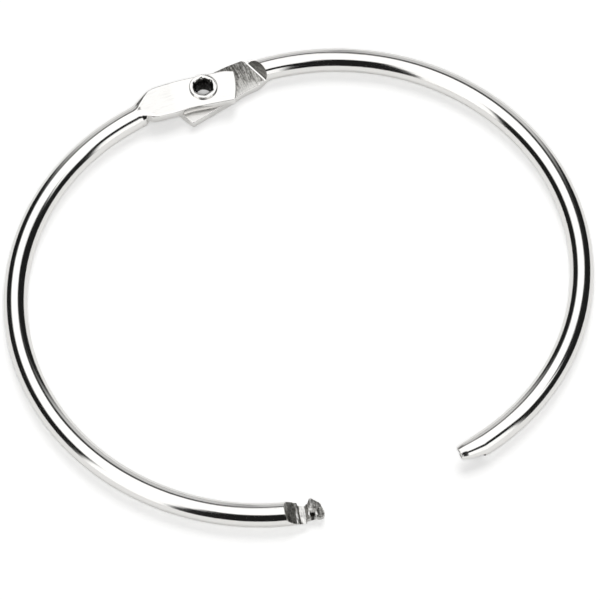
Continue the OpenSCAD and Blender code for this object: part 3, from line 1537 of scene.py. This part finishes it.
    def wear_free_end(self, along: Array, outwards: Array, up: Array, wear: Wear) -> None:
        """Mark the torn skin of the hook, with the painted shade of its dark marks.

        Args:
            along: Length along the wire of each face.
            outwards: Offset outwards of each face.
            up: Height of each face.
            wear: Finish values to mark.
        """
        t = along - self.work_start
        cut_skin = np.hypot(outwards, up) < self.wire_radius - self.skin_slack
        on_hook = (t > 0.0) & cut_skin
        spots = np.column_stack([t, outwards, up])[on_hook]
        t, y, z = spots.T
        wander = self.stain.at(spots)
        tone = np.where(z < self.belly[0], self.belly[1], 0.0)
        for mark in self.marks:
            tone = lerp(tone, mark.tone, mark.weight(t, y, wander))
        wear.torn[on_hook] = 1.0
        wear.tone[on_hook] = tone


@dataclass
class SocketHalf(HalfRing):
    """Half ring whose free end tapers to a tip with a groove for the hook.

    Taper, lean and rise give the radius and the middle of the tip's section by the length
    from its end. The groove takes the hook's head and the narrower slot takes its barb.

    Attributes:
        groove_side: Offset outwards at which the groove's wall stands.
        slot_side: The same for the slot.
        core: Place of the point inside the tip from which its outline is seen.
        core_over: Lengths over which it gets there from the wire's middle.
        worked_tone: Tone of the cut metal, a little dark with painted shade in the groove.
    """

    work_length: float = 4.5
    nick_depth: float = 0.0
    opening: float = 19.5
    tip_at: float = 183.9
    taper: Profile = ((0.0, 1.15), (1.26, 1.55), (4.2, 1.95))
    lean: Profile = ((0.0, -0.3), (1.26, -0.21), (4.2, 0.0))
    rise: Profile = ((0.0, -0.4), (1.26, -0.24), (4.2, 0.0))
    groove_length: float = 3.7
    slot_length: float = 3.2
    groove_roof: float = -0.35
    slot_roof: float = -1.05
    groove_side: float = 1.4
    slot_side: float = -0.15
    tip_ease: float = 0.3
    tip_radius: float = 0.12
    core: Span = (0.0, -1.2)
    core_over: Span = (0.0, 0.8)
    worked_tone: float = -0.3

    def __post_init__(self) -> None:
        """Work out where the wire ends."""
        self.free_end = self.path.length_at(self.tip_at)

    def stretches(self) -> tuple[Stretch, ...]:
        """Add the tip's stations, a few hundredths apart.

        Returns:
            Where each stretch ends and the spacing of its stations.
        """
        return super().stretches() + (
            Stretch(self.free_end - 4.6, 0.3),
            Stretch(self.free_end, 0.045),
        )

    def to_frame(self, points: Array) -> Array:
        """Turn the half ring over and swing it open.

        Args:
            points: Points in the half ring's own frame.

        Returns:
            The points in the frame of the CAD model.
        """
        turn = math.radians(self.opening)
        x, y = -points[:, 0], points[:, 1]
        return np.column_stack(
            [
                x * math.cos(turn) - y * math.sin(turn),
                x * math.sin(turn) + y * math.cos(turn),
                -points[:, 2],
            ]
        )

    def section(self, place: float, rays: Array) -> tuple[Array, Array]:
        """Find the tip's outline at one station.

        Args:
            place: Length along the wire from the hinge.
            rays: Angles of the rays from the section's core.

        Returns:
            Offset outwards and height of each point, and of the core.
        """
        v = np.array([max(0.0, self.free_end - place)])
        shapes = (self.taper, self.lean, self.rise)
        radius, lean, rise = (eased_profile(v, shape, self.tip_ease) for shape in shapes)
        radius = radius - edge_drop(v, self.tip_radius)
        core = np.array(self.core) * smooth(ramp(self.work_length - v, *self.core_over))

        def inside(y: Array, z: Array) -> Array:
            """Tell whether places are in the tip.

            Args:
                y: Offsets outwards.
                z: Heights.

            Returns:
                True for each place in the metal.
            """
            kept = (y - lean) ** 2 + (z - rise) ** 2 < radius**2
            if v[0] < self.groove_length:
                kept &= (z < self.groove_roof) | (y > self.groove_side)
            if v[0] < self.slot_length:
                kept &= (z < self.slot_roof) | (y > self.slot_side)
            return kept

        return outline_from(core, rays, inside), core

    def wear_free_end(self, along: Array, outwards: Array, up: Array, wear: Wear) -> None:
        """Mark the milled groove and the sawn tip, darkened a little with painted shade.

        Args:
            along: Length along the wire of each face.
            outwards: Offset outwards of each face.
            up: Height of each face.
            wear: Finish values to mark.
        """
        v = self.free_end - along
        shapes = (self.taper, self.lean, self.rise)
        radius, lean, rise = (np.interp(v, *zip(*shape)) for shape in shapes)
        off = np.hypot(outwards - lean, up - rise)
        inside = (v < self.taper[-1][0]) & (off < radius - self.tip_radius)
        wear.torn[inside] = 1.0
        wear.tone[inside] = self.worked_tone


# ---------------------------------------------------------------- eyelet


@dataclass
class Eyelet(RingPiece):
    """Hollow rivet with both ends rolled outwards; its upper rim has split a little.

    Attributes:
        bore: Heights of the section's points down the bore.
        flare: Distance from the bore, height and share of the split depth up the mouth.
        lip: Distance from the bore at which the rolled flange starts.
        roll: Where the rolled flange's top lies, from the lip and from its rim.
        crown: How far the top falls at both sides, and how deep the splits reach there.
        rim: Radius of the flange's rim, and the room left above and below it.
        barrel: Heights of the section's points on the barrel.
        splits: Angle round the rivet and depth of each split.
        waves: How many waves go round the rim, their depth and their shift.
        lower_share: How deep the lower rim's splits are, beside the upper rim's.
        split_rise: How far a split pulls the rim down, beside its depth.
        mouth: Distance from the bore within which the metal is torn, and its tone, dark with
            painted shade down the bore.
    """

    bore_radius: float
    barrel_radius: float
    flange_radius: float
    half_height: float
    blade_face: float
    bore: tuple[float, ...] = (0.0, 0.5, 0.9, 1.15)
    flare: tuple[tuple[float, float, float], ...] = (
        (0.015, 1.25, 0.0),
        (0.05, 1.38, 0.25),
        (0.12, 1.52, 0.5),
        (0.2, 1.66, 0.8),
        (0.28, 1.78, 1.0),
    )
    lip: float = 0.34
    lip_steps: tuple[tuple[float, float, float], ...] = ((0.0, 0.09, 1.0), (0.05, 0.05, 0.8))
    roll: Span = (0.12, 0.2)
    roll_points: int = 6
    crown: Span = (0.03, 0.5)
    rim: Span = (0.17, 0.02)
    rim_angles: tuple[float, float, int] = (80, -70, 11)
    foot: float = 0.3
    barrel: tuple[float, ...] = (1.2, 0.8, 0.4)
    around: int = 240
    splits: Profile = (
        (0.5, 0.16), (1.55, 0.2), (2.45, 0.14),
        (3.6, 0.1), (4.7, 0.12), (5.6, 0.16),
    )
    split_width: float = 0.16
    waves: tuple[tuple[int, float, float], ...] = ((3, 0.02, 0.7), (7, 0.015, 0.0))
    lower_share: float = 0.3
    split_rise: float = 0.5
    mouth: Span = (0.36, -0.8)
    edge_angle: float = 45.0

    def half_section(self) -> list[tuple[float, float, float]]:
        """Points of the upper half of the section.

        Returns:
            Radius, height and share of the split depth at each point, from the middle
            of the bore up over the flange and down to the middle of the barrel.
        """
        top, face, edge = self.half_height, self.blade_face, self.flange_radius
        lip = self.bore_radius + self.lip
        points = [(self.bore_radius, z, 0.0) for z in self.bore]
        points += [(self.bore_radius + out, z, share) for out, z, share in self.flare]
        points += [(lip + out, top - fall, share) for out, fall, share in self.lip_steps]
        start, stop = lip + self.roll[0], edge - self.roll[1]
        fall, split = self.crown
        for t in np.linspace(0, 1, self.roll_points):
            height = top - fall * (2 * t - 1) ** 2
            points.append((start + (stop - start) * t, height, split * (1 - t) ** 2))
        radius, room = self.rim
        middle, half = (top + face) / 2, (top - face) / 2 - room
        for angle in np.radians(np.linspace(*self.rim_angles)):
            out = edge - radius + radius * math.cos(angle)
            points.append((out, middle + half * math.sin(angle), 0.0))
        points += [(edge - self.foot, face, 0.0), (self.barrel_radius, face, 0.0)]
        return points + [(self.barrel_radius, z, 0.0) for z in self.barrel]

    def skin(self) -> Array:
        """Turn the section round the hinge axis and split its rim.

        Returns:
            Points in millimetres, by turn, by place in the section, and X, Y and Z.
        """
        upper = self.half_section()
        lower = [(r, -z, self.lower_share * share) for r, z, share in reversed(upper)][:-1]
        out, up, share = np.array(upper + [(self.barrel_radius, 0.0, 0.0)] + lower).T
        turn = np.linspace(0, FULL_TURN, self.around, endpoint=False)
        gap = np.zeros(self.around)
        for place, depth in self.splits:
            off = (turn - place + math.pi) % FULL_TURN - math.pi
            gap = np.maximum(gap, depth * np.exp(-((off / self.split_width) ** 2)))
        wave = sum(depth * np.sin(count * turn + shift) for count, depth, shift in self.waves)
        radius = out + (gap + wave)[:, None] * share
        height = up - (self.split_rise * gap)[:, None] * share * np.sign(up)
        turned = [radius * np.cos(turn)[:, None], radius * np.sin(turn)[:, None], height]
        return np.stack(turned, axis=-1)

    def build(self) -> bpy.types.Object:
        """Make the rivet, dress it and tie it to its body.

        Returns:
            The finished rivet.
        """
        points = self.skin()
        rows = points.shape[1]
        points = points.reshape(-1, 3)
        faces = []
        for i in range(self.around):
            j = (i + 1) % self.around
            for k in range(rows):
                m = (k + 1) % rows
                faces.append((i * rows + k, i * rows + m, j * rows + m, j * rows + k))
        mesh = mesh_of(self.name, points, [], faces)
        close_skin(mesh)
        middle, _ = faces_of(mesh)
        wear = Wear.plain(len(middle))
        # The bore and its mouth are torn metal painted dark, as shade inside the bore.
        mouth, tone = self.mouth
        torn = np.hypot(middle[:, 0], middle[:, 1]) < self.bore_radius + mouth
        wear.torn[torn] = 1.0
        wear.tone[torn] = tone
        wear.keep_on(mesh, points)
        mesh.materials.append(self.finish.build(self.slot.value))
        mesh.set_sharp_from_angle(angle=math.radians(self.edge_angle))
        return self.hand_over(set_out(self.name, mesh))


# ---------------------------------------------------------------- studio


@dataclass(frozen=True)
class Card:
    """Patch of the surroundings that the metal mirrors.

    Attributes:
        bearing: Where it starts and ends, in degrees from the viewer round to the left.
        height: Where it starts and ends, in degrees above the table.
        level: How bright it is, where 1 is white.
        soft: Width of its soft edges, in degrees.
    """

    bearing: Span
    height: Span
    level: float
    soft: float = 4.0


@dataclass(frozen=True)
class Lamp:
    """Soft disc lamp that lights the table and isn't mirrored.

    Its bearing and height are in degrees, as a card's are, its size is in metres, its
    power in watts and its distance from the ring in millimetres.
    """

    name: str
    bearing: float
    height: float
    size: float
    power: float
    distance: float = 900.0


@dataclass
class Studio:
    """White table, pale surroundings, lamps and the camera, with lengths in millimetres.

    Attributes:
        view_azimuth: Way the camera looks from, in degrees from -Y round towards -X.
        view_elevation: Its height above the table, in degrees.
        target: What it looks at.
        distance: How far from there it stands.
        clip: Nearest and furthest distances that it sees, in metres.
        ceiling_over: Heights in degrees between which the surroundings turn pale.
        ceiling_levels: How bright they are below and above those heights.
        cards: Pale and dark patches, each laid over those before it.
        table_glow: What makes the table white where the camera sees it.
        room_level: Light of the surroundings on everything that isn't a mirror.
    """

    table_height: float
    view_azimuth: float = 13.77
    view_elevation: float = 60.65
    target: tuple[float, float, float] = (6.14, -42.33, 0.0)
    distance: float = 1000.0
    focal_length: float = 368.16
    sensor_width: float = 36.0
    clip: Span = (0.01, 20.0)
    table_size: float = 2400.0
    ceiling_over: Span = (40.0, 46.0)
    ceiling_levels: Span = (0.012, 1.14)
    cards: tuple[Card, ...] = (
        Card((-14.0, 26.0), (14.0, 64.0), 0.012),
        Card((-180.0, -138.0), (41.0, 53.0), 0.015),
        Card((-140.0, -100.0), (36.0, 55.0), 0.012),
        Card((29.0, 64.0), (-8.0, 60.0), 1.14),
        Card((-66.0, -20.0), (-8.0, 60.0), 1.1),
        Card((-78.0, -8.0), (36.0, 56.0), 0.012, 3.0),
        Card((24.0, 31.0), (4.0, 28.0), 0.03),
        Card((152.0, 220.0), (-8.0, 31.0), 0.6, 9.0),
        Card((-180.0, -148.0), (-8.0, 35.0), 0.6, 9.0),
    )
    lamps: tuple[Lamp, ...] = (
        Lamp("back_lamp", 182.0, 57.0, 0.6, 3.5),
        Lamp("front_lamp", 0.0, 61.0, 0.2, 3.5),
    )
    table_colour: Colour = (0.86, 0.86, 0.855, 1.0)
    table_glow: float = 0.24
    room_level: float = 0.24

    def toward(self, bearing: float, height: float) -> Vector:
        """Direction from the ring towards a bearing and a height in degrees."""
        a, e = math.radians(self.view_azimuth + bearing), math.radians(height)
        return Vector((-math.sin(a) * math.cos(e), -math.cos(a) * math.cos(e), math.sin(e)))

    def face_ring(self, thing: bpy.types.Object, bearing: float, height: float, far: float) -> None:
        """Put a lamp or the camera round the ring and turn it to face the ring.

        Args:
            thing: What to place.
            bearing: Bearing from the ring, in degrees to the left of the viewer.
            height: Height above the table, in degrees.
            far: Distance from the ring, in millimetres.
        """
        away = self.toward(bearing, height)
        thing.location = (Vector(self.target) + away * far) * MM
        thing.rotation_euler = away.to_track_quat("Z", "Y").to_euler()

    def set_camera(self) -> None:
        """Place the camera and point it at the ring."""
        data = bpy.data.cameras.new("camera")
        data.lens = self.focal_length
        data.sensor_width = self.sensor_width
        data.clip_start, data.clip_end = self.clip
        camera = set_out("camera", data)
        self.face_ring(camera, 0.0, self.view_elevation, self.distance)
        bpy.context.scene.camera = camera

    def lay_table(self) -> None:
        """Lay the white table that the ring rests on."""
        half, z = self.table_size / 2, self.table_height
        corners = [(-half, -half, z), (half, -half, z), (half, half, z), (-half, half, z)]
        mesh = mesh_of("table", np.array(corners), [], [(0, 1, 2, 3)])
        mesh.materials.append(self.table_paint())
        set_out("table", mesh)

    def table_paint(self) -> bpy.types.Material:
        """Mix a matt white that shows the ring's shadow and stays white beside it.

        Returns:
            The table's material.
        """
        material = bpy.data.materials.new("table_white")
        material.use_nodes = True
        bench = NodeBench(material.node_tree)
        seen = bench.add("LightPath").outputs["Is Camera Ray"]
        matt = bench.add("BsdfDiffuse", {"Color": self.table_colour})
        glow = {"Color": WHITE, "Strength": bench.math("MULTIPLY", seen, self.table_glow)}
        lit = {0: matt.outputs[0], 1: bench.add("Emission", glow).outputs[0]}
        bench.add("OutputMaterial", {"Surface": bench.add("AddShader", lit).outputs[0]})
        return material

    @staticmethod
    def card_weight(
        bench: NodeBench, bearing: object, height: object, card: Card
    ) -> bpy.types.NodeSocket:
        """How far a direction lies on a card.

        Args:
            bench: Node bench of the world.
            bearing: Bearing of the direction, in degrees.
            height: Height of the direction, in degrees.
            card: The card.

        Returns:
            Socket that is 1 on the card and 0 off it, with soft edges.
        """
        sides = []
        for value, (low, high) in ((bearing, card.bearing), (height, card.height)):
            for edge, soft in ((low, card.soft / 2), (high, -card.soft / 2)):
                sides.append(bench.span(value, (edge - soft, edge + soft)))
        weight = sides[0]
        for side in sides[1:]:
            weight = bench.math("MULTIPLY", weight, side)
        return weight

    def paint_surroundings(self) -> None:
        """Paint what the metal mirrors, the room's light and the white backdrop."""
        world = bpy.data.worlds.new("surroundings")
        bpy.context.scene.world = world
        world.use_nodes = True
        bench = NodeBench(world.node_tree)
        way = bench.add("TexCoord").outputs["Generated"]
        front, left = self.toward(0.0, 0.0), self.toward(90.0, 0.0)
        parts = [
            bench.add("VectorMath", {0: way, 1: axis}, operation="DOT_PRODUCT").outputs["Value"]
            for axis in (left, front, Vector((0, 0, 1)))
        ]
        bearing = bench.math("DEGREES", bench.math("ARCTAN2", parts[0], parts[1]))
        height = bench.math("DEGREES", bench.math("ARCSINE", parts[2]))
        level = bench.span(height, self.ceiling_over, self.ceiling_levels)
        for card in self.cards:
            weight = self.card_weight(bench, bearing, height, card)
            level = bench.mix_number(weight, level, card.level)
        room, mirrored, white = (
            bench.add("Background", {"Color": WHITE, "Strength": strength}).outputs[0]
            for strength in (self.room_level, level, 1.0)
        )
        path, lit = bench.add("LightPath"), room
        for ray, light in (("Is Glossy Ray", mirrored), ("Is Camera Ray", white)):
            lit = bench.add("MixShader", {0: path.outputs[ray], 1: lit, 2: light}).outputs[0]
        bench.add("OutputWorld", {"Surface": lit})

    def hang_lamps(self) -> None:
        """Hang the lamps round the ring."""
        for lamp in self.lamps:
            data = bpy.data.lights.new(lamp.name, "AREA")
            data.shape = "DISK"
            data.size = lamp.size
            data.energy = lamp.power
            holder = set_out(lamp.name, data)
            holder.visible_glossy = False
            self.face_ring(holder, lamp.bearing, lamp.height, lamp.distance)

    def build(self) -> None:
        """Set up everything that isn't part of the ring."""
        bpy.context.scene.view_settings.view_transform = "Standard"
        self.set_camera()
        self.lay_table()
        self.paint_surroundings()
        self.hang_lamps()
        log.info("studio: view from %.1f, %.1f", self.view_azimuth, self.view_elevation)


# ---------------------------------------------------------------- assembly


def write_sizes() -> None:
    """Update the view layer."""
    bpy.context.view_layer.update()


@dataclass(frozen=True)
class Fit:
    """Sizes in millimetres by which the pieces go together.

    Attributes:
        barrel_radius: Radius of the rivet's barrel and of its hole in the upper blade.
        running_clearance: How much wider the hole in the lower blade is.
        hinge_offset: How far the hinge axis lies outside the wire's middle.
        lower_extra: How much further inwards the lower blade reaches than the upper.
        table_clearance: Room between the ring and the table.
    """

    barrel_radius: float = 1.65
    running_clearance: float = 0.05
    hinge_offset: float = 0.4
    lower_extra: float = 0.65
    table_clearance: float = 0.001


def main() -> None:
    """Build the three pieces and the studio."""
    logging.basicConfig(level=logging.INFO, format="%(message)s")
    fit, finish, blade = Fit(), NickelFinish(), BladeShape()
    hook_low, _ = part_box("hook_half")
    _, eyelet_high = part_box("eyelet")
    wire_radius = -hook_low.z / MM
    path = RingPath(-hook_low.x / MM - wire_radius, fit.hinge_offset)

    HookHalf(
        name="hook_half_wire",
        stands_for="hook_half",
        body="hook_body",
        slot=Slot.HOOK,
        finish=finish,
        path=path,
        wire_radius=wire_radius,
        hole_radius=fit.barrel_radius,
        blade=blade,
    ).build()
    SocketHalf(
        name="socket_half_wire",
        stands_for="socket_half",
        body="socket_body",
        slot=Slot.SOCKET,
        finish=finish,
        path=path,
        wire_radius=wire_radius,
        hole_radius=fit.barrel_radius + fit.running_clearance,
        blade=BladeShape(extra=fit.lower_extra),
        opening=-frame["joints"][0]["range_deg"][0],
    ).build()
    Eyelet(
        name="eyelet_rivet",
        stands_for="eyelet",
        body="hook_body",
        slot=Slot.EYELET,
        finish=finish,
        bore_radius=frame["record"]["mounts"][0]["dims"]["r_mm"],
        barrel_radius=fit.barrel_radius,
        flange_radius=eyelet_high.x / MM,
        half_height=eyelet_high.z / MM,
        blade_face=blade.low + blade.thickness,
    ).build()
    Studio(table_height=-wire_radius - fit.table_clearance).build()
    write_sizes()


if __name__ == "__main__":
    main()
